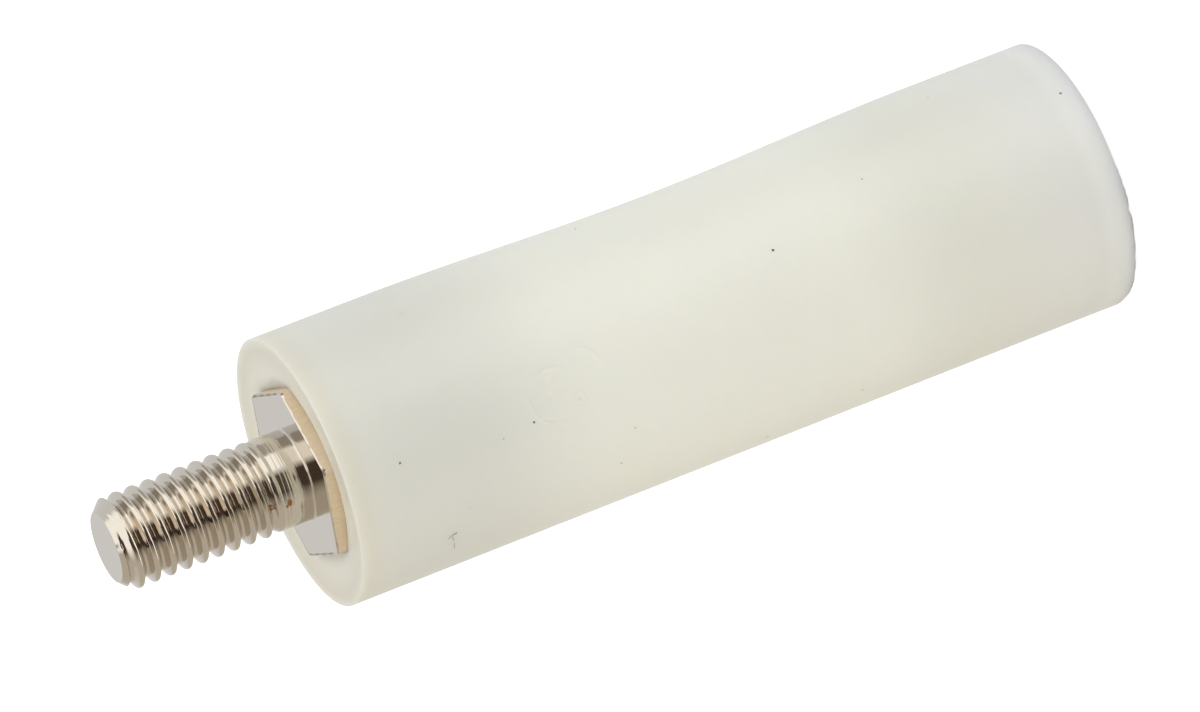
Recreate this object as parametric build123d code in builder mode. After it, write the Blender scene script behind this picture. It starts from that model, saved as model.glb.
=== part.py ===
from build123d import *
import math
import os

# Driving dimensions, in millimetres and degrees

# Moulded plastic body
body_diameter = 11.4
body_length = 35.0
body_edge_radius = 0.06

# One side of the body has sunk in over the solid stretch between the inserts
sink_depth = 0.29
sink_length = 25.0
sink_sections = 11

# Both ends sink from the rim to a round mouth, and dip more steeply from there to the insert
end_sink = 0.18
mouth_diameter = 8.05
mouth_depth = 0.22

# Hexagonal bar of both inserts
hex_across_flats = 6.9
hex_corner_radius = 0.4
hex_turn = 23.4
insert_proud = 0.2
stud_insert_depth = 10.0
threaded_insert_depth = 9.0

# Turned groove that the plastic fills, so that the insert can't pull out
groove_width = 1.4
groove_diameter = 5.6
groove_flare = 0.3

# M4 stud
stud_length = 8.3
shank_diameter = 3.85
shank_length = 0.9
runout_length = 0.7
thread_diameter = 3.95
stud_chamfer = 0.5
root_chamfer = 0.08

# M4 threaded hole
tapping_diameter = 3.3
hole_depth = 7.5
drill_point_angle = 118
countersink_diameter = 4.4

# Heights above the face that the part stands on
body_base = insert_proud
body_top = body_base + body_length
shoulder = body_top + insert_proud
stud_tip = shoulder + stud_length


def insert_blank(low, high):
    """A hexagonal bar between two heights, with the retaining groove turned around its middle."""
    middle = (low + high) / 2
    neck = groove_diameter / 2
    outside = hex_across_flats
    half_mouth = groove_width / 2 + (outside - neck) * groove_flare
    with BuildPart() as blank:
        with BuildSketch(Plane.XY.offset(low)) as section:
            RegularPolygon(hex_across_flats / 2, 6, major_radius=False, rotation=hex_turn)
            fillet(section.vertices(), hex_corner_radius)
        extrude(amount=high - low)
        with BuildSketch(Plane.XZ):
            with BuildLine():
                Polyline(
                    (neck, middle - groove_width / 2),
                    (outside, middle - half_mouth),
                    (outside, middle + half_mouth),
                    (neck, middle + groove_width / 2),
                    close=True,
                )
            make_face()
        revolve(axis=Axis.Z, mode=Mode.SUBTRACT)
    return blank.part


stud_blank = insert_blank(body_top - stud_insert_depth, shoulder)
threaded_blank = insert_blank(0, body_base + threaded_insert_depth)

# Insert with the male stud: the hexagon, plain shank, run-out, threaded length and chamfered tip are one piece
with BuildPart() as stud_insert:
    add(stud_blank)
    with BuildSketch(Plane.XZ):
        with BuildLine():
            shank = shank_diameter / 2
            thread = thread_diameter / 2
            shank_end = shoulder + shank_length
            thread_start = shank_end + runout_length
            Polyline(
                (shank + root_chamfer, shoulder),
                (shank, shoulder + root_chamfer),
                (shank, shank_end),
                (thread, thread_start),
                (thread, stud_tip - stud_chamfer),
                (thread - stud_chamfer, stud_tip),
                (0, stud_tip),
                (0, shoulder),
                close=True,
            )
        make_face()
    revolve(axis=Axis.Z)
stud_insert.part.label = "stud_insert"

# Insert with the female thread, drilled blind from the face that the part stands on
with BuildPart() as threaded_insert:
    add(threaded_blank)
    with BuildSketch(Plane.XZ):
        with BuildLine():
            bore = tapping_diameter / 2
            rim = countersink_diameter / 2
            drill_point = bore / math.tan(math.radians(drill_point_angle / 2))
            Polyline(
                (0, 0),
                (rim, 0),
                (bore, rim - bore),
                (bore, hole_depth),
                (0, hole_depth + drill_point),
                close=True,
            )
        make_face()
    revolve(axis=Axis.Z, mode=Mode.SUBTRACT)
threaded_insert.part.label = "threaded_insert"


def sink_at(height):
    """Depth of the sunk side at a height: deepest at mid-length, and fading to nothing at both its ends."""
    from_middle = height - (body_base + body_top) / 2
    return sink_depth * math.cos(math.pi * from_middle / sink_length) ** 2


# Body moulded around both inserts. The side towards +X is sunk, and the opposite side stays straight
with BuildPart() as spacer_body:
    plain_length = (body_length - sink_length) / 2
    for low in (body_base, body_top - plain_length):
        with BuildSketch(Plane.XY.offset(low)):
            Circle(body_diameter / 2)
        extrude(amount=plain_length)
    rims = spacer_body.edges().filter_by(GeomType.CIRCLE).sort_by(Axis.Z)
    fillet([rims[0], rims[-1]], body_edge_radius)
    for step in range(sink_sections):
        height = body_base + plain_length + sink_length * step / (sink_sections - 1)
        sink = sink_at(height)
        with BuildSketch(Plane(origin=(-sink / 2, 0, height))):
            Circle((body_diameter - sink) / 2)
    loft()
    for rim, inward in ((body_base, 1), (body_top, -1)):
        mouth = rim + inward * end_sink
        floor = mouth + inward * mouth_depth
        with BuildSketch(Plane.XZ):
            with BuildLine():
                Polyline(
                    (0, rim),
                    (body_diameter / 2 - body_edge_radius, rim),
                    (mouth_diameter / 2, mouth),
                    (hex_across_flats / 2, floor),
                    (0, floor),
                    close=True,
                )
            make_face()
        revolve(axis=Axis.Z, mode=Mode.SUBTRACT)
    add(stud_blank, mode=Mode.SUBTRACT)
    add(threaded_blank, mode=Mode.SUBTRACT)
spacer_body.part.label = "spacer_body"

os.makedirs("parts", exist_ok=True)
export_step(spacer_body.part, "parts/spacer_body.step")
export_step(stud_insert.part, "parts/stud_insert.step")
export_step(threaded_insert.part, "parts/threaded_insert.step")
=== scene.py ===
"""Round moulded nylon spacer: a nickel-plated stud at one end, a threaded insert at the other."""

import math
import random

import bpy
import numpy as np
from bpy.props import FloatProperty, FloatVectorProperty, PointerProperty
from mathutils import Matrix, Vector


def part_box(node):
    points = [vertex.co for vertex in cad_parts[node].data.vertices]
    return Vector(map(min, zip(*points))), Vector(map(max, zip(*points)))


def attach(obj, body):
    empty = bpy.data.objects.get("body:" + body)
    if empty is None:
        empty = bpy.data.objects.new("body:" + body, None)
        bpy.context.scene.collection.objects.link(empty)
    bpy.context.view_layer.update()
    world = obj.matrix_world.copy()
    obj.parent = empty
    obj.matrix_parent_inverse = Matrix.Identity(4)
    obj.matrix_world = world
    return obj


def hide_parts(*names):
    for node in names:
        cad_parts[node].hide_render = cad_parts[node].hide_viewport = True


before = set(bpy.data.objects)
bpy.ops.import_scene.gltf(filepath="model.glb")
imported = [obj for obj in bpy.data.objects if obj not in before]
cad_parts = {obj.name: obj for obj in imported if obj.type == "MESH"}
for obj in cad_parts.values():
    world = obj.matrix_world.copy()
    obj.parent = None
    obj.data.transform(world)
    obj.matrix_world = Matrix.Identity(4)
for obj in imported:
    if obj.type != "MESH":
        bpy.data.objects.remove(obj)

bl_info = {
    "name": "Round threaded spacer",
    "version": (1, 0, 0),
    "blender": (4, 5, 0),
    "location": "View3D > Sidebar > Spacer",
    "description": "Builds a moulded nylon spacer with a male stud and a female threaded insert",
    "category": "Object",
}

MM = 0.001
HEX_SIDES = 6
HALF_SIDE = math.radians(30)
DRILL_POINT_ANGLE = math.radians(118)
SHARP_ANGLE = math.radians(32)

# What all colour settings share
COLOUR = {"subtype": "COLOR", "size": 3, "min": 0.0, "max": 1.0}

# Thread forms. Roundings and the tapped depth are shares of the pitch
FLANK_SLOPE = math.tan(math.radians(60))
FLANK_SINE = math.sin(math.radians(60))
CREST_ROUNDING = 0.21
ROOT_ROUNDING = 0.17
TAPPED_DEPTH = 0.5413

# Height of a row of points on each thread, the length at the hole's bottom that isn't tapped, and
# the stretch over which the tapped thread fades out before it
STUD_ROW = 0.02 * MM
HOLE_ROW = 0.035 * MM
UNTAPPED_LENGTH = 0.8 * MM
TAP_FADE = 0.5 * MM


def linear(hex_colour):
    """An sRGB hex colour as linear red, green and blue."""
    channels = [int(hex_colour[i : i + 2], 16) / 255 for i in (0, 2, 4)]
    return tuple(c / 12.92 if c <= 0.04045 else ((c + 0.055) / 1.055) ** 2.4 for c in channels)


def with_alpha(colour):
    """A colour as the four numbers that a shader's socket takes."""
    return (*colour[:3], 1.0)


def size_of(node):
    """Lowest corner, highest corner of a CAD node."""
    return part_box(node)


BODY_LOW, BODY_HIGH = size_of("spacer_body")
STUD_LOW, STUD_HIGH = size_of("stud_insert")
FEMALE_LOW, FEMALE_HIGH = size_of("threaded_insert")


# Fixed values. The camera and all marks of moulding, handling and rust were read off the photograph


# Height of the stud's hexagonal face, and how softly each mouth's edge turns
FACE_HEIGHT = BODY_HIGH.z + BODY_LOW.z
MOUTH_ROUNDING = 0.12 * MM

# Worn edge of the hexagon's face, edge of the hidden one, and the fillet at the stud's root
WORN_EDGE = 0.06 * MM
HIDDEN_EDGE = 0.045 * MM
ROOT_FILLET = 0.08 * MM

# Clearance that keeps the plastic's pockets off the metal
POCKET_GAP = 0.01 * MM

# Length of the stud's hexagon that carries the painted tan reflection, and how far below the edge
# it ends
PAINTED_REFLECTION_LENGTH = 1.5 * MM
PAINTED_REFLECTION_MARGIN = 0.01 * MM

# Depth of the turning tool's marks: at the stud's root, on the thread, and in its run-out on top
ROOT_MARKS = 0.5
THREAD_MARKS = 0.3
RUNOUT_MARKS = 0.35

# Place and direction of the camera, and the direction that is up in its view
CAMERA_PLACE = Vector((-13.357, -382.862, 144.776)) * MM
CAMERA_AIM = Vector((0.0332, 0.9515, -0.3059))
CAMERA_UP = Vector((0.9277, -0.1432, -0.3448))

# Soft lamp and table top, in metres, and how strongly the table shows white to the camera
LAMP_PLACE = Vector((0.08, -0.5, 0.15))
LAMP_AIM = Vector((0, 0, 0.02))
LAMP_WIDTH, LAMP_HEIGHT = 0.25, 0.35
TABLE_HALF_SIDE = 6.0
TABLE_GLOW = 0.72

# Flash on the base's rim: its stretch, anticlockwise, how far each end fades, and its tear
FLASH_REACH = (math.radians(-168), math.radians(-93))
FLASH_FADES = (math.radians(4), math.radians(9))
FLASH_TEAR = math.radians(-115)
TEAR_WIDTH = math.radians(1.4)

# Middle of the gate mark, and how far around it the body's mesh is fine
GATE_ANGLE = math.radians(-100)
GATE_HEIGHT = 25.77 * MM
GATE_REACH = 2.3 * MM

# Rows along the body, and the rows and columns of the fine mesh around the gate mark
BODY_ROWS = 70
GATE_ROWS = 120
GATE_COLUMNS = 110

# Gate mark in millimetres and degrees: centre along and around the body, radius, first and last
# angle, width of the line and depth. 0 degrees points to the stud and 90 to the sunk side. A radius
# of 0 makes a dent
GATE_ARCS = (
    (0.0, 0.0, 1.14, -125, 20, 0.06, 0.05),
    (0.0, 0.0, 1.1, 55, 125, 0.06, 0.035),
    (0.0, 0.0, 0.98, -110, -45, 0.06, -0.03),
    (-1.45, 0.65, 0.76, 80, 200, 0.06, 0.035),
    (-1.5, 0.6, 0.5, 120, 190, 0.06, -0.02),
    (-0.87, -0.53, 0.3, 0, 0, 0.05, 0.03),
    (-0.87, -0.53, 0.0, 0, 0, 0.07, 0.04),
    (0.3, 0.1, 0.0, 0, 0, 0.12, -0.035),
    (0.2, 0.7, 0.0, 0, 0, 0.1, -0.03),
    (0.62, -1.45, 0.0, 0, 0, 0.15, -0.035),
    (0.15, -1.95, 0.0, 0, 0, 0.1, -0.03),
)

# Seed of the draws that make each speck ragged
SPECK_SEED = 7

# Specks: angle around the axis in degrees, height and size in millimetres, and how dark each one is
SPECKS = (
    (-76.9, 15.04, 0.15, 1.0),
    (-102.9, 32.80, 0.14, 0.8),
    (-107.3, 27.00, 0.13, 0.9),
    (-58.3, 0.95, 0.15, 0.75),
    (-62.0, 10.26, 0.10, 0.5),
    (-109.1, 28.41, 0.08, 0.6),
    (-141.0, 23.67, 0.12, 0.3),
    (-126.0, 22.91, 0.13, 0.15),
    (-166.3, 16.81, 0.13, 0.4),
    (-155.8, 12.67, 0.13, 0.3),
    (-32.0, 5.64, 0.13, 0.15),
    (-40.9, 29.93, 0.16, 0.12),
    (-23.1, 21.35, 0.12, 0.4),
    (-133.0, 30.39, 0.12, 0.1),
    (-105.2, 24.90, 0.08, 0.1),
)

# A short forked fibre in the skin: start and end of each stroke, as angle and height, its width,
# and how dark it is
FIBRE = (
    ((-145.7, 31.42), (-144.4, 31.26), 0.07, 0.55),
    ((-144.4, 31.26), (-143.7, 30.99), 0.08, 0.8),
    ((-144.6, 31.24), (-148.5, 31.16), 0.06, 0.45),
    ((-148.5, 31.16), (-155.0, 31.10), 0.07, 0.35),
)

# Nicks in the edge of the hexagon's face: angle and half width in degrees, and how much wider it is
NICKS = (
    (-38.5, 1.0, 1.6),
    (-41.5, 0.7, 1.0),
    (-95.5, 1.0, 1.4),
    (-98.0, 0.8, 1.2),
    (-150.5, 1.2, 1.0),
)

# Corner of the hexagon nearest to the camera, how far to each side of it the face's edge stays free
# of the painted dark reflection, and how fast that sets in beyond, in degrees
NEAR_CORNER = -96.6
UNSHADED_REACH = 62
DARK_EDGE_FADE = 6

# Rust: centre and reach of each spot
RUST_SPOTS = (
    ((-0.98 * MM, -1.47 * MM, 37.17 * MM), 0.17 * MM),
    ((-1.05 * MM, -1.63 * MM, 36.48 * MM), 0.18 * MM),
)

# What the metal mirrors, as linear red, green and blue
BLACK = (0.01, 0.009, 0.008)
DARK_ROOM = (0.085, 0.058, 0.046)
TABLE = (0.60, 0.54, 0.46)
SOFTBOX = (1.35, 1.3, 1.22)
WALL = (0.45, 0.41, 0.36)
WHITE_BODY = (1.8, 1.8, 1.8)
BACKDROP = (0.77, 0.77, 0.77)
TAN = (1.1, 0.93, 0.74)
BROWN = (0.60, 0.50, 0.37)
TIP_LIGHT = (1.3, 1.27, 1.2)

# Layers that the metal mirrors, with the height (-1 below to +1 above) at which each starts or ends
FRONT_LAYERS = [
    (-0.90, TABLE),
    (-0.52, DARK_ROOM),
    (0.18, DARK_ROOM),
    (0.48, SOFTBOX),
    (0.88, SOFTBOX),
    (0.93, WALL),
]
FRONT_LAYERS_AT_BODY = [
    (-1.0, TABLE),
    (-0.86, BROWN),
    (-0.60, BROWN),
    (-0.54, BLACK),
    (-0.36, BLACK),
    (-0.28, TAN),
    (0.60, TAN),
    (0.75, WALL),
]
WHITE_LAYERS = [
    (-0.8, TABLE),
    (-0.5, WHITE_BODY),
]
FRONT_LAYERS_AT_TIP = [
    (-0.44, BROWN),
    (-0.36, BLACK),
    (-0.08, BLACK),
    (0.02, SOFTBOX),
    (0.52, SOFTBOX),
    (0.62, WALL),
]
BACK_LAYERS = [
    (-0.5, TABLE),
    (-0.2, BACKDROP),
    (0.88, BACKDROP),
    (0.92, WALL),
]
BACK_LAYERS_AT_TIP = [
    (-0.35, TABLE),
    (-0.20, TIP_LIGHT),
    (0.60, TIP_LIGHT),
    (0.75, BACKDROP),
]

# Directions in which one set of layers gives way to the next: along the axis, with +1 at the stud's
# tip, and from the front of the studio to its back, whose border leans by a share of the height
TOWARDS_TIP = (0.70, 0.76)
TOWARDS_BODY = (-0.46, -0.50)
STEEPLY_TO_BODY = (-0.70, -0.76)
BEHIND = (-0.06, -0.03)
BORDER_LEAN = 0.22

# Soft light on everything but mirroring metal, from below the lying spacer to above it
SOFT_LIGHT = [
    (0.0, (0.85, 0.79, 0.63)),
    (0.5, (0.83, 0.835, 0.83)),
    (1.0, (0.94, 0.96, 0.93)),
]


# Settings that a user would change


class SpacerBodySizes(bpy.types.PropertyGroup):
    """Sizes of the moulded nylon body."""

    diameter: FloatProperty(
        name="Diameter",
        description="Across the moulded body, away from the sunk side",
        default=BODY_HIGH.y - BODY_LOW.y,
        unit="LENGTH",
    )
    sink_depth: FloatProperty(
        name="Sink depth",
        description="How far one side has sunk in at mid-length, as thick nylon does when it cools",
        default=0.29 * MM,
        unit="LENGTH",
    )
    sink_length: FloatProperty(
        name="Sink length",
        description="Length of the sunk stretch between the two inserts",
        default=25.0 * MM,
        unit="LENGTH",
    )
    edge_radius: FloatProperty(
        name="Edge radius",
        description="Rounding of the body's outer rim at both ends",
        default=0.06 * MM,
        unit="LENGTH",
    )
    end_sink: FloatProperty(
        name="End sink",
        description="How far each end face has sunk in between its rim and the round mouth",
        default=0.18 * MM,
        unit="LENGTH",
    )
    mouth_diameter: FloatProperty(
        name="Mouth diameter",
        description="Round edge in each end face, where it dips more steeply to the hexagon",
        default=8.05 * MM,
        unit="LENGTH",
    )
    mouth_depth: FloatProperty(
        name="Mouth depth",
        description="Depth of that dip at the hexagon's flats",
        default=0.22 * MM,
        unit="LENGTH",
    )
    flash_height: FloatProperty(
        name="Flash height",
        description="Thin lip of plastic left along part of the base's rim, where the mould closed",
        default=0.09 * MM,
        unit="LENGTH",
    )


class SpacerInsertSizes(bpy.types.PropertyGroup):
    """Sizes of the hexagonal bar that both inserts are cut from."""

    across_flats: FloatProperty(
        name="Across flats",
        description="Hexagonal bar, from flat to flat",
        default=6.9 * MM,
        unit="LENGTH",
    )
    corner_radius: FloatProperty(
        name="Corner radius",
        description="Rounding of the bar's six corners",
        default=0.4 * MM,
        unit="LENGTH",
    )
    turn: FloatProperty(
        name="Turn",
        description="Angle of the hexagon's first corner from the +X axis",
        default=math.radians(23.4),
        subtype="ANGLE",
    )
    groove_diameter: FloatProperty(
        name="Groove diameter",
        description="Turned retaining groove that the plastic fills",
        default=5.6 * MM,
        unit="LENGTH",
    )
    groove_width: FloatProperty(
        name="Groove width",
        description="Width of the groove at its bottom",
        default=1.4 * MM,
        unit="LENGTH",
    )
    groove_flare: FloatProperty(
        name="Groove flare",
        description="How far each side of the groove slopes outward, as a share of its depth",
        default=0.3,
    )


class SpacerThreadSizes(bpy.types.PropertyGroup):
    """Sizes of the stud and of the threaded hole."""

    pitch: FloatProperty(
        name="Pitch",
        description="Height of one turn of the thread",
        default=0.7 * MM,
        unit="LENGTH",
    )
    crest_diameter: FloatProperty(
        name="Crest diameter",
        description="Across the stud's crests",
        default=3.95 * MM,
        unit="LENGTH",
    )
    crest_height: FloatProperty(
        name="Crest height",
        description="Height of a crest on the +X side, which sets how the thread is turned",
        default=0.62 * MM,
        unit="LENGTH",
    )
    shank_diameter: FloatProperty(
        name="Shank diameter",
        description="Plain part between the hexagon and the thread",
        default=3.85 * MM,
        unit="LENGTH",
    )
    shank_length: FloatProperty(
        name="Shank length",
        description="Length of the plain part",
        default=1.2 * MM,
        unit="LENGTH",
    )
    runout_length: FloatProperty(
        name="Run-out length",
        description="Length over which the thread fades into the shank",
        default=0.8 * MM,
        unit="LENGTH",
    )
    tip_chamfer: FloatProperty(
        name="Tip chamfer",
        description="45 degree chamfer at the stud's tip",
        default=0.5 * MM,
        unit="LENGTH",
    )
    tapping_diameter: FloatProperty(
        name="Tapping diameter",
        description="Across the crests inside the threaded hole",
        default=3.3 * MM,
        unit="LENGTH",
    )
    hole_depth: FloatProperty(
        name="Hole depth",
        description="Depth of the threaded hole to its drill point",
        default=7.5 * MM,
        unit="LENGTH",
    )
    countersink_diameter: FloatProperty(
        name="Countersink diameter",
        description="Mouth of the threaded hole",
        default=4.4 * MM,
        unit="LENGTH",
    )


class SpacerColours(bpy.types.PropertyGroup):
    """Colours of the spacer's materials."""

    nylon: FloatVectorProperty(
        name="Nylon",
        description="Solid uncoloured nylon at mid-length",
        default=linear("efefe8"),
        **COLOUR,
    )
    nylon_over_metal: FloatVectorProperty(
        name="Nylon over metal",
        description="Nylon over the stud's insert, where the grey metal shows through the wall",
        default=linear("e1e1dc"),
        **COLOUR,
    )
    nylon_at_base: FloatVectorProperty(
        name="Nylon at the base",
        description="Nylon over the female insert, where the wall is clearer and cooler",
        default=linear("e8e8e6"),
        **COLOUR,
    )
    nickel: FloatVectorProperty(
        name="Nickel",
        description="Bright nickel plate",
        default=linear("d6d0c6"),
        **COLOUR,
    )
    rust: FloatVectorProperty(
        name="Rust",
        description="Rust where the plating is thin, in the thread's run-out",
        default=linear("a8602a"),
        **COLOUR,
    )
    # Painted light: a warm brightening of the nylon in the dip around each hexagon, lifting the
    # shade there
    mouth_painted_light: FloatVectorProperty(
        name="Nylon in the mouths",
        description="Nylon around the hexagon, tinted by light that comes back from the metal",
        default=linear("fbf6e9"),
        **COLOUR,
    )
    # Painted reflection: a tan matt colour on the sides of the stud's hexagon, in place of the warm
    # nylon that the polished metal mirrors there
    film: FloatVectorProperty(
        name="Film",
        description="Thin film of plastic on the sides of the stud's hexagon",
        default=linear("e6d0b0"),
        **COLOUR,
    )
    # Painted dark reflection along the far part of the hexagon face's edge; the same colour darkens
    # the rust's crumbs
    grime: FloatVectorProperty(
        name="Grime",
        description="Dark grime along the edge of the hexagon's face and in the rust",
        default=linear("6a5a48"),
        **COLOUR,
    )
    speck: FloatVectorProperty(
        name="Speck",
        description="Burnt specks moulded into the nylon",
        default=linear("4a463c"),
        **COLOUR,
    )


class SpacerStageSettings(bpy.types.PropertyGroup):
    """Floor and light."""

    floor_colour: FloatVectorProperty(
        name="Floor",
        description="Matt white table top",
        default=linear("f2f2f2"),
        **COLOUR,
    )
    key_power: FloatProperty(
        name="Key lamp",
        description="Power of the large soft lamp in front of the body",
        default=0.35,
        unit="POWER",
    )
    lens: FloatProperty(
        name="Lens",
        description="Focal length on a 36 mm wide sensor",
        default=300.0,
        subtype="DISTANCE_CAMERA",
    )


# Making meshes from stacked rings


def column_angles(sizes, extra=()):
    """Angles of a ring's points: even on the flats, close at the corners, and any extra ones."""
    apothem = sizes.across_flats / 2
    on_flat = math.atan(math.tan(HALF_SIDE) * (1 - sizes.corner_radius / apothem))
    flat = np.linspace(-on_flat, on_flat, 19)
    corner = np.linspace(on_flat, 2 * HALF_SIDE - on_flat, 9)[1:-1]
    sector = np.concatenate((flat, corner)) + sizes.turn + HALF_SIDE
    angles = np.concatenate([sector + side * 2 * HALF_SIDE for side in range(HEX_SIDES)])
    angles = np.sort(np.concatenate((angles, np.asarray(extra, float))) % math.tau)
    gaps = np.diff(angles, append=angles[0] + math.tau)
    return angles[gaps > math.radians(0.1)]


def hexagon_radius(angles, sizes, inset=0.0):
    """Distance from the axis to a hexagon with rounded corners, at each angle."""
    apothem = sizes.across_flats / 2 - inset
    rounding = sizes.corner_radius - inset
    from_corner = (angles - sizes.turn + HALF_SIDE) % (2 * HALF_SIDE) - HALF_SIDE
    flat = apothem / np.cos(HALF_SIDE - np.abs(from_corner))
    centre = (apothem - rounding) / math.cos(HALF_SIDE)
    under = np.maximum(rounding**2 - (centre * np.sin(from_corner)) ** 2, 0)
    arc = centre * np.cos(from_corner) + np.sqrt(under)
    on_arc = HALF_SIDE - math.atan(math.tan(HALF_SIDE) * (1 - rounding / apothem))
    return np.where(np.abs(from_corner) < on_arc, arc, flat)


class RingStack:
    """Rings of points around the axis, in order along the skin's path, closed at each end by one.

    Each ring may say how deep its tool marks are, and its shares of the painted dark edge and of
    the painted tan reflection.
    """

    def __init__(self, angles):
        self.angles = angles
        self.radii = []
        self.heights = []
        self.looks = {"tooled": [], "grime": [], "film": []}

    def add(self, radius, height, **looks):
        self.radii.append(self.around(radius))
        self.heights.append(self.around(height))
        for name, values in self.looks.items():
            values.append(self.around(looks.get(name, 0.0)))

    def around(self, value):
        return np.broadcast_to(value, self.angles.shape).astype(float)

    def mesh(self, name, crossing="rising"):
        """The closed mesh. Its quads are split the way that a thread's edges cross them."""
        radii, heights = np.array(self.radii), np.array(self.heights)
        rows, columns = radii.shape
        across, along = radii * np.cos(self.angles), radii * np.sin(self.angles)
        points = np.stack((across, along, heights), axis=-1).reshape(-1, 3)
        ends = np.array([[0, 0, heights[0].mean()], [0, 0, heights[-1].mean()]])
        index = np.arange(rows * columns).reshape(rows, columns)
        a, b = index[:-1], np.roll(index[:-1], -1, axis=1)
        d, c = index[1:], np.roll(index[1:], -1, axis=1)
        if crossing == "rising":
            first, second = np.stack((a, b, c), -1), np.stack((a, c, d), -1)
        else:
            first, second = np.stack((a, b, d), -1), np.stack((b, c, d), -1)
        start, end = rows * columns, rows * columns + 1
        low = np.stack((np.full(columns, start), np.roll(index[0], -1), index[0]), -1)
        high = np.stack((np.full(columns, end), index[-1], np.roll(index[-1], -1)), -1)
        triangles = np.concatenate((low, first.reshape(-1, 3), second.reshape(-1, 3), high))
        made = bpy.data.meshes.new(name)
        made.from_pydata(np.concatenate((points, ends)).tolist(), [], triangles.tolist())
        made.validate()
        for look, values in self.looks.items():
            values = np.concatenate((np.concatenate(values), (0, 0)))
            made.attributes.new(look, "FLOAT", "POINT").data.foreach_set("value", values)
        return made


def place(mesh, material, replaced=()):
    """Puts a mesh into the scene as a piece on the root body."""
    piece = bpy.data.objects.new(mesh.name, mesh)
    bpy.context.scene.collection.objects.link(piece)
    mesh.materials.append(material)
    mesh.shade_smooth()
    mesh.set_sharp_from_angle(angle=SHARP_ANGLE)
    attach(piece, "root")
    if replaced:
        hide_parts(*replaced)
    return piece


def add_groove(rings, sizes, low, high, gap=0.0, upwards=1):
    """The groove midway between two heights, or the plastic's rib in it, kept clear by a gap."""
    wall = hexagon_radius(rings.angles, sizes, -gap)
    neck = sizes.groove_diameter / 2 + gap
    half = sizes.groove_width / 2 - gap
    reach = half + (wall.max() - neck) * sizes.groove_flare
    for share in np.linspace(-upwards, upwards, 29):
        height = share * reach
        groove = neck + max(abs(height) - half, 0) / sizes.groove_flare
        rings.add(np.minimum(wall, groove), (low + high) / 2 + height)


def add_hexagonal_side(rings, sizes, low, high, edge=0.0, film=0.0):
    """The bar's side between two heights, with its groove, and any painted tan reflection near the
    top.
    """
    bar = hexagon_radius(rings.angles, sizes)
    rings.add(bar, low)
    add_groove(rings, sizes, low, high)
    rings.add(bar, high - PAINTED_REFLECTION_LENGTH, film=film)
    rings.add(bar, high - edge - PAINTED_REFLECTION_MARGIN, film=film)
    rings.add(bar, high - edge)


# Threads


def external_depth(offset, pitch):
    """Depth of a 60 degree stud thread below its crest, at a distance along the axis from it."""
    crest, root = CREST_ROUNDING * pitch, ROOT_ROUNDING * pitch
    depth = pitch * FLANK_SINE - crest - root
    from_root = pitch / 2 - offset
    over_crest = crest - np.sqrt(np.maximum(crest**2 - offset**2, 0))
    in_root = depth - root + np.sqrt(np.maximum(root**2 - from_root**2, 0))
    flank = crest / 2 + (offset - crest * FLANK_SINE) * FLANK_SLOPE
    at_crest = offset < crest * FLANK_SINE
    at_root = from_root < root * FLANK_SINE
    return np.where(at_crest, over_crest, np.where(at_root, in_root, flank))


def external_edges(pitch):
    """Distances from a crest on which a stud thread's points must fall to show its roundings."""
    turns = [math.sin(math.radians(angle)) for angle in (60, 30)]
    crest = [CREST_ROUNDING * pitch * turn for turn in turns]
    root = [pitch / 2 - ROOT_ROUNDING * pitch * turn for turn in turns]
    right = crest + root
    return (0, pitch / 2, *right, *(-edge for edge in right))


def internal_depth(offset, pitch):
    """The same for a tapped hole's thread: how far the wall lies outside the hole's crest."""
    return np.clip((offset - pitch / 8) * FLANK_SLOPE, 0, TAPPED_DEPTH * pitch)


def internal_edges(pitch):
    """Where the tapped hole's profile turns, as distances from its crest's middle."""
    return (-(pitch / 2 - pitch / 16), -pitch / 8, pitch / 8, pitch / 2 - pitch / 16)


def threaded_rows(low, high, row_height, angles, thread, edges):
    """Heights of a thread's rings, and each point's distance along the axis to the nearest crest.

    A height moves by up to half a row where an edge of the thread has to lie on points of a ring.
    """
    base = np.linspace(low, high, round((high - low) / row_height) + 1)
    step = base[1] - base[0]
    heights = np.repeat(base[:, None], len(angles), axis=1)
    rise = thread.crest_height + thread.pitch * angles / math.tau
    last = len(base) - 2
    turns = range(int(base[0] / thread.pitch) - 2, int(base[-1] / thread.pitch) + 2)
    columns = np.arange(len(angles))
    for edge in edges:
        for turn in turns:
            wanted = rise + edge + turn * thread.pitch
            row = np.rint((wanted - base[0]) / step).astype(int)
            inside = (row >= 1) & (row <= last)
            heights[row[inside], columns[inside]] = wanted[inside]
    away = (heights - thread.crest_height) / thread.pitch - angles / math.tau
    return heights, np.abs(away - np.rint(away)) * thread.pitch


# Materials


def add_node(tree, kind, settings=None, inputs=None, links=None):
    """Adds a node, sets its properties and input values, and links its inputs to other sockets."""
    node = tree.nodes.new("ShaderNode" + kind)
    for key, value in (settings or {}).items():
        setattr(node, key, value)
    for key, value in (inputs or {}).items():
        node.inputs[key].default_value = value
    for key, socket in (links or {}).items():
        tree.links.new(socket, node.inputs[key])
    return node


def new_material(name):
    """An empty material and its output node."""
    material = bpy.data.materials.new(name)
    material.use_nodes = True
    material.node_tree.nodes.clear()
    output = add_node(material.node_tree, "OutputMaterial")
    return material, material.node_tree, output


def set_ramp(node, stops):
    """Gives a colour ramp its stops, as (position, linear colour)."""
    elements = node.color_ramp.elements
    while len(elements) > 1:
        elements.remove(elements[-1])
    elements[0].position, elements[0].color = stops[0][0], with_alpha(stops[0][1])
    for position, colour in stops[1:]:
        element = elements.new(position)
        element.color = with_alpha(colour)


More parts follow.
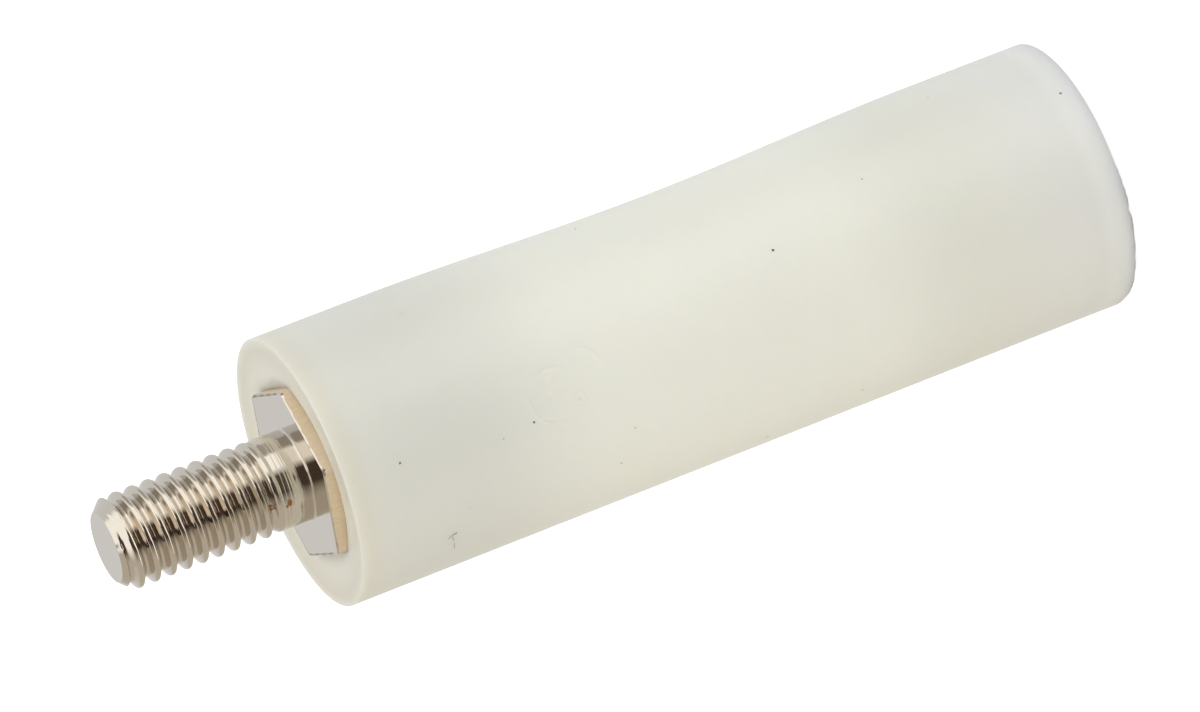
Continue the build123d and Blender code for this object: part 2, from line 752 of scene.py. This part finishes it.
def distance_from_axis(tree, place_at):
    """Distance of each point of the surface from the spacer's axis."""
    flattened = add_node(
        tree, "VectorMath", {"operation": "MULTIPLY"}, {1: (1.0, 1.0, 0.0)}, {0: place_at}
    )
    length = add_node(
        tree, "VectorMath", {"operation": "LENGTH"}, links={0: flattened.outputs["Vector"]}
    )
    return length.outputs["Value"]


def uneven(tree, place_at, grain, low, high, **noise):
    """A value that wanders between two others over the surface, in grains of a real size."""
    patches = add_node(
        tree, "TexNoise", inputs={"Scale": 1 / grain, **noise}, links={"Vector": place_at}
    )
    # The noise itself mostly lies between 0.3 and 0.7
    spread = add_node(
        tree,
        "MapRange",
        inputs={"From Min": 0.3, "From Max": 0.7, "To Min": low, "To Max": high},
        links={"Value": patches.outputs["Fac"]},
    )
    return spread.outputs["Result"]


def natural_nylon(colours, sizes):
    """Moulded polyamide 6, uncoloured: milky, lit from inside, with a soft satin skin.

    Over the metal inserts it looks greyer, and where it is solid, brighter and a little yellow.
    """
    material, tree, output = new_material("natural_nylon_moulded")
    place_at = add_node(tree, "TexCoord").outputs["Object"]
    parts = add_node(tree, "SeparateXYZ", links={"Vector": place_at})
    along = add_node(
        tree,
        "MapRange",
        inputs={"From Min": BODY_LOW.z, "From Max": BODY_HIGH.z},
        links={"Value": parts.outputs["Z"]},
    )
    over_metal, solid, at_base = colours.nylon_over_metal, colours.nylon, colours.nylon_at_base
    # Painted light brightens the base's rim and the band beside it, where the table shades them;
    # painted shade darkens the stud's end and its rim
    painted_light_at_rim, painted_light_beside_rim = linear("f6f6f3"), linear("efefec")
    clearer, painted_shade_at_stud_end = linear("e8e8e1"), linear("dbd8ce")
    tint = add_node(tree, "ValToRGB", links={"Fac": along.outputs["Result"]})
    tint.color_ramp.interpolation = "EASE"
    set_ramp(
        tint,
        [
            (0.0, painted_light_at_rim),
            (0.02, painted_light_beside_rim),
            (0.045, at_base),
            (0.2, clearer),
            (0.36, solid),
            (0.66, solid),
            (0.86, over_metal),
            (0.96, over_metal),
            (1.0, painted_shade_at_stud_end),
        ],
    )
    mottle = uneven(tree, place_at, 6 * MM, 0.975, 1.0, Detail=3.0, Roughness=0.6)
    colour = add_node(
        tree,
        "Mix",
        {"data_type": "RGBA", "blend_type": "MULTIPLY"},
        {"Factor": 1.0},
        {"A": tint.outputs["Color"], "B": mottle},
    )
    # Painted light: near each mouth the nylon turns to a warmer, brighter colour that lifts the
    # shade in the dip
    mouth = sizes.mouth_diameter / 2
    mouth_light_share = add_node(
        tree,
        "MapRange",
        inputs={"From Min": mouth + 1.2 * MM, "From Max": mouth - 0.1 * MM},
        links={"Value": distance_from_axis(tree, place_at)},
    )
    colour = add_node(
        tree,
        "Mix",
        {"data_type": "RGBA"},
        {"B": with_alpha(colours.mouth_painted_light)},
        {"Factor": mouth_light_share.outputs["Result"], "A": colour.outputs["Result"]},
    )
    grain = add_node(
        tree,
        "TexNoise",
        inputs={"Scale": 1 / (0.25 * MM), "Detail": 2.0},
        links={"Vector": place_at},
    )
    skin = add_node(
        tree,
        "Bump",
        inputs={"Strength": 0.12, "Distance": 0.01 * MM},
        links={"Height": grain.outputs["Fac"]},
    )
    plastic = add_node(
        tree,
        "BsdfPrincipled",
        {"subsurface_method": "RANDOM_WALK"},
        {
            "Roughness": 0.36,
            "IOR": 1.53,
            "Subsurface Weight": 1.0,
            "Subsurface Radius": (1.0, 0.9, 0.7),
            "Subsurface Scale": 1.8 * MM,
        },
        {"Base Color": colour.outputs["Result"], "Normal": skin.outputs["Normal"]},
    )
    tree.links.new(plastic.outputs["BSDF"], output.inputs["Surface"])
    return material


def nickel_plate(colours, rust_at=()):
    """Turned steel, nickel plated: a warm grey mirror, streaked by tool marks around the axis.

    A painted tan reflection covers the hexagon's sides, a painted dark reflection lines the far
    part of its face's edge, and rust breaks through.
    """
    material, tree, output = new_material("nickel_plate_on_turned_steel")
    place_at = add_node(tree, "TexCoord").outputs["Object"]
    parts = add_node(tree, "SeparateXYZ", links={"Vector": place_at})
    # Tool marks run around the axis, so their pattern hardly changes that way
    around = add_node(
        tree, "VectorMath", {"operation": "DOT_PRODUCT"}, {1: (0.03, 0.02, 0.0)}, {0: place_at}
    )
    marks_at = add_node(
        tree,
        "CombineXYZ",
        links={
            "X": distance_from_axis(tree, place_at),
            "Y": around.outputs["Value"],
            "Z": parts.outputs["Z"],
        },
    )
    marks = add_node(
        tree,
        "TexNoise",
        inputs={"Scale": 1 / (0.2 * MM), "Detail": 3.0, "Roughness": 0.6},
        links={"Vector": marks_at.outputs["Vector"]},
    )
    tool_depth = add_node(tree, "Attribute", {"attribute_name": "tooled"})
    tooled = add_node(
        tree,
        "Bump",
        inputs={"Distance": 0.016 * MM},
        links={"Strength": tool_depth.outputs["Fac"], "Height": marks.outputs["Fac"]},
    )
    dullness = uneven(tree, place_at, 0.8 * MM, 0.05, 0.11, Detail=4.0)
    # Painted dark reflection along the far part of the face's edge, where the metal mirrors dark
    # surroundings
    grime = add_node(tree, "Attribute", {"attribute_name": "grime"})
    plate = add_node(
        tree,
        "Mix",
        {"data_type": "RGBA"},
        {"A": with_alpha(colours.nickel), "B": with_alpha(colours.grime)},
        {"Factor": grime.outputs["Fac"]},
    )
    metal = add_node(
        tree,
        "BsdfPrincipled",
        inputs={"Metallic": 1.0},
        links={
            "Base Color": plate.outputs["Result"],
            "Roughness": dullness,
            "Normal": tooled.outputs["Normal"],
        },
    )
    # Painted reflection: a tan matt layer on the hexagon's sides in place of the warm nylon that
    # the metal mirrors. Its streaks are stretched along the axis
    drawn_at = add_node(
        tree, "VectorMath", {"operation": "MULTIPLY"}, {1: (1.0, 1.0, 0.12)}, {0: place_at}
    )
    drawn = drawn_at.outputs["Vector"]
    reflection_tone = uneven(tree, drawn, 0.07 * MM, 0.86, 1.04, Detail=3.0, Roughness=0.7)
    reflection_colour = add_node(
        tree,
        "Mix",
        {"data_type": "RGBA", "blend_type": "MULTIPLY"},
        {"Factor": 1.0, "A": with_alpha(colours.film)},
        {"B": reflection_tone},
    )
    film = add_node(
        tree,
        "BsdfPrincipled",
        inputs={"Roughness": 0.45, "IOR": 1.53},
        links={"Base Color": reflection_colour.outputs["Result"]},
    )
    reflection_at = add_node(tree, "Attribute", {"attribute_name": "film"})
    reflection_share = add_node(
        tree, "Math", {"operation": "MULTIPLY"}, {1: 0.8}, {0: reflection_at.outputs["Fac"]}
    )
    reflection_mixed = add_node(
        tree,
        "MixShader",
        links={0: reflection_share.outputs["Value"], 1: metal.outputs["BSDF"], 2: film.outputs["BSDF"]},
    )
    shader = reflection_mixed.outputs["Shader"]
    if rust_at:
        ragged = uneven(tree, place_at, 0.1 * MM, -0.1 * MM, 0.1 * MM, Detail=3.0)
        near = None
        for centre, radius in rust_at:
            away = add_node(
                tree, "VectorMath", {"operation": "DISTANCE"}, {1: centre}, {0: place_at}
            )
            inside = add_node(
                tree, "Math", {"operation": "SUBTRACT"}, {0: radius}, {1: away.outputs["Value"]}
            )
            ragged_inside = add_node(
                tree, "Math", {"operation": "ADD"}, links={0: inside.outputs["Value"], 1: ragged}
            )
            if near is None:
                near = ragged_inside
            else:
                near = add_node(
                    tree,
                    "Math",
                    {"operation": "MAXIMUM"},
                    links={0: near.outputs["Value"], 1: ragged_inside.outputs["Value"]},
                )
        share = add_node(
            tree,
            "MapRange",
            inputs={"From Min": 0.0, "From Max": 0.06 * MM},
            links={"Value": near.outputs["Value"]},
        )
        crumbs = add_node(
            tree,
            "TexNoise",
            inputs={"Scale": 1 / (0.07 * MM), "Detail": 3.0},
            links={"Vector": place_at},
        )
        crumb_tone = add_node(tree, "ValToRGB", links={"Fac": crumbs.outputs["Fac"]})
        set_ramp(crumb_tone, [(0.4, colours.grime), (0.6, colours.rust)])
        rust = add_node(
            tree,
            "BsdfPrincipled",
            inputs={"Roughness": 0.8},
            links={"Base Color": crumb_tone.outputs["Color"]},
        )
        mixed = add_node(
            tree,
            "MixShader",
            links={0: share.outputs["Result"], 1: shader, 2: rust.outputs["BSDF"]},
        )
        shader = mixed.outputs["Shader"]
    tree.links.new(shader, output.inputs["Surface"])
    return material


def burnt_speck(colours):
    """Nylon charred in the moulding machine: small dull specks, fainter where they lie deeper."""
    material, tree, output = new_material("charred_nylon_speck")
    darkness = add_node(tree, "Attribute", {"attribute_name": "darkness"})
    colour = add_node(
        tree,
        "Mix",
        {"data_type": "RGBA"},
        {"A": with_alpha(colours.nylon_over_metal), "B": with_alpha(colours.speck)},
        {"Factor": darkness.outputs["Fac"]},
    )
    charred = add_node(
        tree,
        "BsdfPrincipled",
        inputs={"Roughness": 0.5, "IOR": 1.53},
        links={"Base Color": colour.outputs["Result"]},
    )
    tree.links.new(charred.outputs["BSDF"], output.inputs["Surface"])
    return material


# Pieces


def worn_edge(angles):
    """Width of the face's knocked edge as a share of its usual one, more at its nicks."""
    width = 0.9 + 0.25 * np.sin(angles * 47) * np.sin(angles * 13 + 1)
    width = width + 0.15 * np.sin(angles * 90 + 2)
    for degrees, half_width, deeper in NICKS:
        away = (np.degrees(angles) - degrees + 180) % 360 - 180
        width = width + deeper * np.exp(-((away / half_width) ** 2))
    return width


def painted_dark_edge(angles):
    """Share of the painted dark reflection along the face's edge, away from the two sides at the
    near corner.
    """
    away = (np.degrees(angles) - NEAR_CORNER + 180) % 360 - 180
    patchy = 0.75 + 0.25 * np.sin(angles * 23 + 0.5)
    return np.clip((np.abs(away) - UNSHADED_REACH) / DARK_EDGE_FADE, 0, 1) * patchy


class SPACER_OT_stud_insert(bpy.types.Operator):
    """Hexagonal insert with the male stud: plain shank, run-out, right-hand thread, chamfer"""

    bl_idname = "spacer.stud_insert"
    bl_label = "Make the stud insert"

    def execute(self, context):
        scene = context.scene
        bar, thread = scene.spacer_insert, scene.spacer_thread
        shoulder = FACE_HEIGHT
        low, tip = STUD_LOW.z, STUD_HIGH.z
        rings = RingStack(column_angles(bar))
        outline = hexagon_radius(rings.angles, bar)
        for share in (0.3, 0.7, 0.97):
            rings.add(outline * share, low)
        # The hexagon's sides carry the painted tan reflection up to the face
        add_hexagonal_side(rings, bar, low, shoulder, WORN_EDGE * worn_edge(rings.angles), 1.0)
        # A painted dark reflection lines the face's edge away from the near corner
        grime = painted_dark_edge(rings.angles)
        for inset, dark_share in ((1.0, grime), (1.6, grime), (2.2, 0.0)):
            rings.add(hexagon_radius(rings.angles, bar, inset * WORN_EDGE), shoulder, grime=dark_share)
        shank, crest = thread.shank_diameter / 2, thread.crest_diameter / 2
        inner = shank + ROOT_FILLET
        for share in (0.8, 0.5, 0.2, 0.04):
            rings.add(inner + (outline - inner) * share, shoulder)
        for turn in np.linspace(0, math.pi / 2, 5):
            rings.add(
                shank + ROOT_FILLET * (1 - math.sin(turn)),
                shoulder + ROOT_FILLET * (1 - math.cos(turn)),
                tooled=ROOT_MARKS * math.sin(turn),
            )
        edges = external_edges(thread.pitch)
        heights, offset = threaded_rows(
            shoulder + 2 * ROOT_FILLET, tip, STUD_ROW, rings.angles, thread, edges
        )
        profile = crest - external_depth(offset, thread.pitch)
        start = shoulder + thread.shank_length
        grown = np.clip((heights - start) / thread.runout_length, 0, 1)
        grown = grown**2 * (3 - 2 * grown)
        radius = shank + (profile - shank) * grown
        chamfer = crest - np.maximum(heights - (tip - thread.tip_chamfer), 0)
        radius = np.minimum(radius, chamfer)
        fading = np.clip(1 - (heights - start) / thread.runout_length, 0, 1)
        tooled = THREAD_MARKS + RUNOUT_MARKS * fading
        for row in range(len(heights)):
            rings.add(radius[row], heights[row], tooled=tooled[row])
        for share in (0.9, 0.5):
            rings.add(radius[-1] * share, tip)
        plate = nickel_plate(scene.spacer_colours, RUST_SPOTS)
        place(rings.mesh("nickel_stud", "rising"), plate, ["stud_insert"])
        return {"FINISHED"}


class SPACER_OT_threaded_insert(bpy.types.Operator):
    """Hexagonal insert with the blind tapped hole and its countersunk mouth"""

    bl_idname = "spacer.threaded_insert"
    bl_label = "Make the threaded insert"

    def execute(self, context):
        scene = context.scene
        bar, thread = scene.spacer_insert, scene.spacer_thread
        low, high = FEMALE_LOW.z, FEMALE_HIGH.z
        rings = RingStack(column_angles(bar))
        outline = hexagon_radius(rings.angles, bar)
        bore = thread.tapping_diameter / 2
        mouth = thread.countersink_diameter / 2
        drill_point = bore / math.tan(DRILL_POINT_ANGLE / 2)
        for share in (0.3, 0.65, 0.97):
            rings.add(bore * share, low + thread.hole_depth + drill_point * (1 - share))
        thread_high = low + thread.hole_depth
        edges = internal_edges(thread.pitch)
        heights, offset = threaded_rows(
            low + 0.02 * MM, thread_high, HOLE_ROW, rings.angles, thread, edges
        )
        tapped = np.clip((thread_high - UNTAPPED_LENGTH - heights) / TAP_FADE, 0, 1)
        wall = bore + internal_depth(offset, thread.pitch) * tapped
        wall = np.maximum(wall, mouth - (heights - low))
        for row in reversed(range(len(heights))):
            rings.add(wall[row], heights[row])
        rings.add(mouth, low)
        for share in (0.05, 0.4, 0.8):
            rings.add(mouth + (outline - mouth) * share, low)
        rings.add(hexagon_radius(rings.angles, bar, HIDDEN_EDGE), low)
        add_hexagonal_side(rings, bar, low + HIDDEN_EDGE, high)
        for share in (0.97, 0.6, 0.3):
            rings.add(outline * share, high)
        plate = nickel_plate(scene.spacer_colours)
        mesh = rings.mesh("nickel_threaded_insert", "falling")
        place(mesh, plate, ["threaded_insert"])
        return {"FINISHED"}


def body_radius(angles, heights, sizes):
    """Distance from the axis to the body's outside, with one side sunk in between the inserts."""
    from_middle = heights - (BODY_LOW.z + BODY_HIGH.z) / 2
    inside = np.abs(from_middle) < sizes.sink_length / 2
    sink = sizes.sink_depth * np.cos(math.pi * from_middle / sizes.sink_length) ** 2 * inside
    centre = -sink / 2
    radius = (sizes.diameter - sink) / 2
    return centre * np.cos(angles) + np.sqrt(radius**2 - (centre * np.sin(angles)) ** 2)


class SPACER_OT_body(bpy.types.Operator):
    """Moulded nylon body with its rims, its mouths, the sunk side and the gate mark"""

    bl_idname = "spacer.body"
    bl_label = "Make the nylon body"

    def execute(self, context):
        scene = context.scene
        bar, sizes = scene.spacer_insert, scene.spacer_body
        low, high = BODY_LOW.z, BODY_HIGH.z
        half_turn = GATE_REACH / (sizes.diameter / 2)
        extra = np.linspace(GATE_ANGLE - half_turn, GATE_ANGLE + half_turn, GATE_COLUMNS)
        rings = RingStack(column_angles(bar, extra))
        pocket = hexagon_radius(rings.angles, bar, -POCKET_GAP)
        pocket_ceiling = FEMALE_HIGH.z + POCKET_GAP
        pocket_floor = STUD_LOW.z - POCKET_GAP
        rounding = sizes.edge_radius
        rim = sizes.diameter / 2 - rounding
        mouth = sizes.mouth_diameter / 2
        inner, outer = mouth - MOUTH_ROUNDING, mouth + MOUTH_ROUNDING
        end_rings = [pocket + (inner - pocket) * share for share in (0, 0.3, 0.7)]
        end_rings += [mouth + MOUTH_ROUNDING * step for step in np.linspace(-1, 1, 7)]
        end_rings += [outer + (rim - mouth) * share for share in (0.15, 0.35, 0.55, 0.75, 0.9)]
        for share in (0.3, 0.7, 0.97):
            rings.add(pocket * share, pocket_ceiling)
        rings.add(pocket, pocket_ceiling)
        add_groove(rings, bar, FEMALE_LOW.z, FEMALE_HIGH.z, POCKET_GAP, -1)
        for radius in end_rings:
            rings.add(radius, low + end_dip(radius, sizes, bar))
        lip = sizes.flash_height * flash_share(rings.angles)
        rings.add(rim - 0.02 * MM, low)
        rings.add(rim, low - lip)
        for turn in np.linspace(math.pi / 8, math.pi / 2, 4):
            height = low - lip + rounding * (1 - math.cos(turn))
            rings.add(rim + rounding * math.sin(turn), height)
        coarse = np.linspace(low + rounding * 1.3, high - rounding * 1.3, BODY_ROWS)
        fine = np.linspace(GATE_HEIGHT - GATE_REACH, GATE_HEIGHT + GATE_REACH, GATE_ROWS)
        coarse = coarse[np.abs(coarse - GATE_HEIGHT) > GATE_REACH * 1.01]
        for height in np.sort(np.concatenate((coarse, fine))):
            wall = body_radius(rings.angles, height, sizes)
            rings.add(wall - gate_relief(rings.angles, height, sizes), height)
        for turn in np.linspace(0, math.pi / 2, 5):
            rings.add(rim + rounding * math.cos(turn), high - rounding * (1 - math.sin(turn)))
        for radius in reversed(end_rings):
            rings.add(radius, high - end_dip(radius, sizes, bar))
        add_groove(rings, bar, STUD_LOW.z, FACE_HEIGHT, POCKET_GAP, -1)
        rings.add(pocket, pocket_floor)
        for share in (0.97, 0.7, 0.3):
            rings.add(pocket * share, pocket_floor)
        nylon = natural_nylon(scene.spacer_colours, sizes)
        place(rings.mesh("nylon_body", "rising"), nylon, ["spacer_body"])
        return {"FINISHED"}


def end_dip(radius, sizes, bar):
    """How far an end face lies inside its rim: a gentle sink to the mouth, then a steeper dip."""
    rim = sizes.diameter / 2 - sizes.edge_radius
    mouth = sizes.mouth_diameter / 2
    gentle = sizes.end_sink / (rim - mouth)
    steep = sizes.mouth_depth / (mouth - bar.across_flats / 2)
    inside = np.clip(mouth + MOUTH_ROUNDING - radius, 0, 2 * MOUTH_ROUNDING)
    rounded = inside**2 / (4 * MOUTH_ROUNDING)
    straight = np.maximum(mouth - MOUTH_ROUNDING - radius, 0)
    return gentle * np.maximum(rim - radius, 0) + (steep - gentle) * (rounded + straight)


def flash_share(angles):
    """Height of the lip on the base's rim as a share of its greatest: uneven, and torn once."""
    start, end = FLASH_REACH
    along = (angles - start) % math.tau
    length = (end - start) % math.tau
    grown = np.clip(along / FLASH_FADES[0], 0, 1) * np.clip((length - along) / FLASH_FADES[1], 0, 1)
    wavy = 0.7 + 0.15 * np.sin(along * 9) + 0.1 * np.sin(along * 31 + 1) + 0.1 * np.sin(along * 83)
    from_tear = (angles - FLASH_TEAR + math.pi) % math.tau - math.pi
    torn = 1 - 0.9 * np.exp(-((from_tear / TEAR_WIDTH) ** 2))
    return np.where(along < length, grown * wavy * torn, 0)


def gate_relief(angles, height, sizes):
    """Depth of the sheared gate mark: broken arcs of shallow rings, and small dents beside them."""
    turned = (angles - GATE_ANGLE + math.pi) % math.tau - math.pi
    across = turned * sizes.diameter / 2
    along = height - GATE_HEIGHT
    depth = np.zeros_like(angles)
    for centre_along, centre_across, ring, start, end, width, deep in GATE_ARCS:
        beside, beyond = across - centre_across * MM, along - centre_along * MM
        away = np.hypot(beside, beyond)
        around = np.degrees(np.arctan2(beside, beyond))
        share = ((around - start) % 360) / ((end - start) % 360 or 360)
        fade = np.where(share <= 1, np.sqrt(np.maximum(np.sin(math.pi * share), 0)), 0)
        if ring == 0:
            fade = 1
        depth += deep * MM * fade * np.exp(-(((away - ring * MM) / (width * MM)) ** 2))
    return depth


class SPACER_OT_specks(bpy.types.Operator):
    """Small charred specks and a short fibre in the body's skin"""

    bl_idname = "spacer.specks"
    bl_label = "Make the specks"

    def execute(self, context):
        scene = context.scene
        sizes = scene.spacer_body
        draws = random.Random(SPECK_SEED)
        flakes = []
        for degrees, height, size, dark in SPECKS:
            flakes.append((math.radians(degrees), height * MM, size * MM, size * MM, 0, dark))
        for (first, low), (last, high), width, dark in FIBRE:
            across, along = math.radians(last - first) * sizes.diameter / 2, (high - low) * MM
            middle, height = math.radians(first + last) / 2, (low + high) / 2 * MM
            length, turn = math.hypot(across, along) + width * MM, math.atan2(across, along)
            flakes.append((middle, height, length, width * MM, turn, dark))
        points, faces, darkness = [], [], []
        for *flake, dark in flakes:
            self.add_flake(points, faces, sizes, draws, *flake)
            darkness += [dark] * (len(points) - len(darkness))
        mesh = bpy.data.meshes.new("charred_specks")
        mesh.from_pydata(points, [], faces)
        mesh.validate()
        mesh.attributes.new("darkness", "FLOAT", "POINT").data.foreach_set("value", darkness)
        place(mesh, burnt_speck(scene.spacer_colours))
        return {"FINISHED"}

    def add_flake(self, points, faces, sizes, draws, angle, height, length, width, turn):
        """A ragged flat flake, its rim under the skin and its middle level with it."""
        first, sides = len(points), 11
        corners = []
        for share, lift in ((1.0, -0.012 * MM), (0.7, 0.002 * MM)):
            for step in range(sides):
                at = math.tau * step / sides
                reach = share * (0.8 + 0.4 * draws.random())
                forward = reach * math.cos(at) * length / 2
                corners.append((forward, reach * math.sin(at) * width / 2, lift))
        corners += [(0, 0, -0.014 * MM), (0, 0, 0.003 * MM)]
        for forward, sideways, lift in corners:
            along = forward * math.cos(turn) - sideways * math.sin(turn)
            across = forward * math.sin(turn) + sideways * math.cos(turn)
            at = angle + across / (sizes.diameter / 2)
            out = float(body_radius(np.array([at]), height + along, sizes)[0]) + lift
            points.append((out * math.cos(at), out * math.sin(at), height + along))
        bottom, top = first + 2 * sides, first + 2 * sides + 1
        for step in range(sides):
            after = (step + 1) % sides
            low_a, low_b = first + step, first + after
            high_a, high_b = first + sides + step, first + sides + after
            faces.append((low_b, low_a, high_a, high_b))
            faces += [(high_b, high_a, top), (low_a, low_b, bottom)]


# Stage


def glossy_surroundings(tree, direction):
    """What polished metal mirrors: the studio in layers, from below the body (-X) to above it."""
    parts = add_node(tree, "SeparateXYZ", links={"Vector": direction})
    height = add_node(
        tree,
        "MapRange",
        inputs={"From Min": -1.0, "From Max": 1.0},
        links={"Value": parts.outputs["X"]},
    )
    leaning = add_node(
        tree,
        "Math",
        {"operation": "MULTIPLY_ADD"},
        {1: BORDER_LEAN},
        {0: parts.outputs["Z"], 2: parts.outputs["Y"]},
    )
    views = []
    for stops in (
        FRONT_LAYERS,
        FRONT_LAYERS_AT_BODY,
        WHITE_LAYERS,
        FRONT_LAYERS_AT_TIP,
        BACK_LAYERS,
        BACK_LAYERS_AT_TIP,
    ):
        ramp = add_node(tree, "ValToRGB", links={"Fac": height.outputs["Result"]})
        set_ramp(ramp, [((x + 1) / 2, colour) for x, colour in stops])
        views.append(ramp.outputs["Color"])
    front, at_body, white, front_at_tip, back, back_at_tip = views

    def giving_way(value, stretch, first, second):
        """One view of the studio giving way to the next, where the value crosses a stretch."""
        share = add_node(
            tree,
            "MapRange",
            inputs={"From Min": stretch[0], "From Max": stretch[1]},
            links={"Value": value},
        )
        return add_node(
            tree,
            "Mix",
            {"data_type": "RGBA"},
            links={"Factor": share.outputs["Result"], "A": first, "B": second},
        ).outputs["Result"]

    along = parts.outputs["Z"]
    at_body = giving_way(along, STEEPLY_TO_BODY, at_body, white)
    front = giving_way(along, TOWARDS_BODY, front, at_body)
    front = giving_way(along, TOWARDS_TIP, front, front_at_tip)
    back = giving_way(along, TOWARDS_TIP, back, back_at_tip)
    return giving_way(leaning.outputs["Value"], BEHIND, front, back)


class SPACER_OT_stage(bpy.types.Operator):
    """Camera, white table, soft light and the surroundings that the metal mirrors"""

    bl_idname = "spacer.stage"
    bl_label = "Make the stage"

    def execute(self, context):
        scene = context.scene
        settings = scene.spacer_stage
        self.add_camera(scene, settings)
        self.add_floor(scene, settings)
        self.add_surroundings(scene)
        self.add_key_lamp(scene, settings)
        scene.view_settings.view_transform = "Standard"
        return {"FINISHED"}

    def add_camera(self, scene, settings):
        data = bpy.data.cameras.new("photo_view")
        data.sensor_width = 36.0
        data.lens = settings.lens
        data.clip_start, data.clip_end = 0.01, 10.0
        camera = bpy.data.objects.new("photo_view", data)
        scene.collection.objects.link(camera)
        back = -CAMERA_AIM.normalized()
        right = CAMERA_UP.cross(back).normalized()
        up = back.cross(right)
        turned = Matrix((right, up, back)).transposed().to_4x4()
        camera.matrix_world = Matrix.Translation(CAMERA_PLACE) @ turned
        scene.camera = camera

    def add_floor(self, scene, settings):
        side = TABLE_HALF_SIDE
        mesh = bpy.data.meshes.new("table_top")
        corners = [(-side, -side, 0), (side, -side, 0), (side, side, 0), (-side, side, 0)]
        mesh.from_pydata(corners, [], [(0, 1, 2, 3)])
        floor = bpy.data.objects.new("table_top", mesh)
        scene.collection.objects.link(floor)
        floor.visible_glossy = False
        material, tree, output = new_material("matt_white_laminate")
        matt = add_node(tree, "BsdfDiffuse", inputs={"Color": with_alpha(settings.floor_colour)})
        glow = add_node(tree, "Emission", inputs={"Color": (1, 1, 1, 1), "Strength": TABLE_GLOW})
        seen = add_node(
            tree, "AddShader", links={0: matt.outputs["BSDF"], 1: glow.outputs["Emission"]}
        )
        path = add_node(tree, "LightPath")
        mixed = add_node(
            tree,
            "MixShader",
            links={
                0: path.outputs["Is Camera Ray"],
                1: matt.outputs["BSDF"],
                2: seen.outputs["Shader"],
            },
        )
        tree.links.new(mixed.outputs["Shader"], output.inputs["Surface"])
        mesh.materials.append(material)

    def add_surroundings(self, scene):
        world = bpy.data.worlds.new("soft_white_studio")
        scene.world = world
        world.use_nodes = True
        tree = world.node_tree
        tree.nodes.clear()
        output = add_node(tree, "OutputWorld")
        direction = add_node(tree, "TexCoord").outputs["Generated"]
        path = add_node(tree, "LightPath")
        parts = add_node(tree, "SeparateXYZ", links={"Vector": direction})
        side = add_node(
            tree,
            "MapRange",
            inputs={"From Min": -1.0, "From Max": 1.0},
            links={"Value": parts.outputs["X"]},
        )
        soft = add_node(tree, "ValToRGB", links={"Fac": side.outputs["Result"]})
        set_ramp(soft, SOFT_LIGHT)
        mirrored = glossy_surroundings(tree, direction)
        lit = add_node(
            tree,
            "Mix",
            {"data_type": "RGBA"},
            links={
                "Factor": path.outputs["Is Glossy Ray"],
                "A": soft.outputs["Color"],
                "B": mirrored,
            },
        )
        shown = add_node(
            tree,
            "Mix",
            {"data_type": "RGBA"},
            {"B": (1, 1, 1, 1)},
            {"Factor": path.outputs["Is Camera Ray"], "A": lit.outputs["Result"]},
        )
        light = add_node(tree, "Background", links={"Color": shown.outputs["Result"]})
        tree.links.new(light.outputs["Background"], output.inputs["Surface"])
        world.cycles.sampling_method = "NONE"

    def add_key_lamp(self, scene, settings):
        data = bpy.data.lights.new("key_softbox", "AREA")
        data.shape = "RECTANGLE"
        data.size, data.size_y = LAMP_WIDTH, LAMP_HEIGHT
        data.energy = settings.key_power
        lamp = bpy.data.objects.new("key_softbox", data)
        scene.collection.objects.link(lamp)
        lamp.visible_camera = False
        lamp.visible_glossy = False
        turned = (LAMP_AIM - LAMP_PLACE).to_track_quat("-Z", "Y").to_matrix().to_4x4()
        lamp.matrix_world = Matrix.Translation(LAMP_PLACE) @ turned


class SPACER_PT_sidebar(bpy.types.Panel):
    """The spacer's settings and the steps that build it"""

    bl_idname = "SPACER_PT_sidebar"
    bl_label = "Threaded spacer"
    bl_space_type = "VIEW_3D"
    bl_region_type = "UI"
    bl_category = "Spacer"

    def draw(self, context):
        layout = self.layout
        for operator in OPERATORS:
            layout.operator(operator.bl_idname)
        for name in PROPERTY_GROUPS:
            box = layout.box()
            group = getattr(context.scene, name)
            for key in group.__annotations__:
                box.prop(group, key)


PROPERTY_GROUPS = {
    "spacer_body": SpacerBodySizes,
    "spacer_insert": SpacerInsertSizes,
    "spacer_thread": SpacerThreadSizes,
    "spacer_colours": SpacerColours,
    "spacer_stage": SpacerStageSettings,
}
OPERATORS = (
    SPACER_OT_stage,
    SPACER_OT_body,
    SPACER_OT_stud_insert,
    SPACER_OT_threaded_insert,
    SPACER_OT_specks,
)


def register():
    for name, group in PROPERTY_GROUPS.items():
        bpy.utils.register_class(group)
        setattr(bpy.types.Scene, name, PointerProperty(type=group))
    for operator in OPERATORS:
        bpy.utils.register_class(operator)
    bpy.utils.register_class(SPACER_PT_sidebar)


def unregister():
    bpy.utils.unregister_class(SPACER_PT_sidebar)
    for operator in reversed(OPERATORS):
        bpy.utils.unregister_class(operator)
    for name, group in reversed(PROPERTY_GROUPS.items()):
        delattr(bpy.types.Scene, name)
        bpy.utils.unregister_class(group)


def main():
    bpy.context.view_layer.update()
    register()
    for operator in OPERATORS:
        group, step = operator.bl_idname.split(".")
        if getattr(getattr(bpy.ops, group), step)() != {"FINISHED"}:
            raise RuntimeError(f"{operator.bl_label} did not finish")


if __name__ == "__main__":
    main()
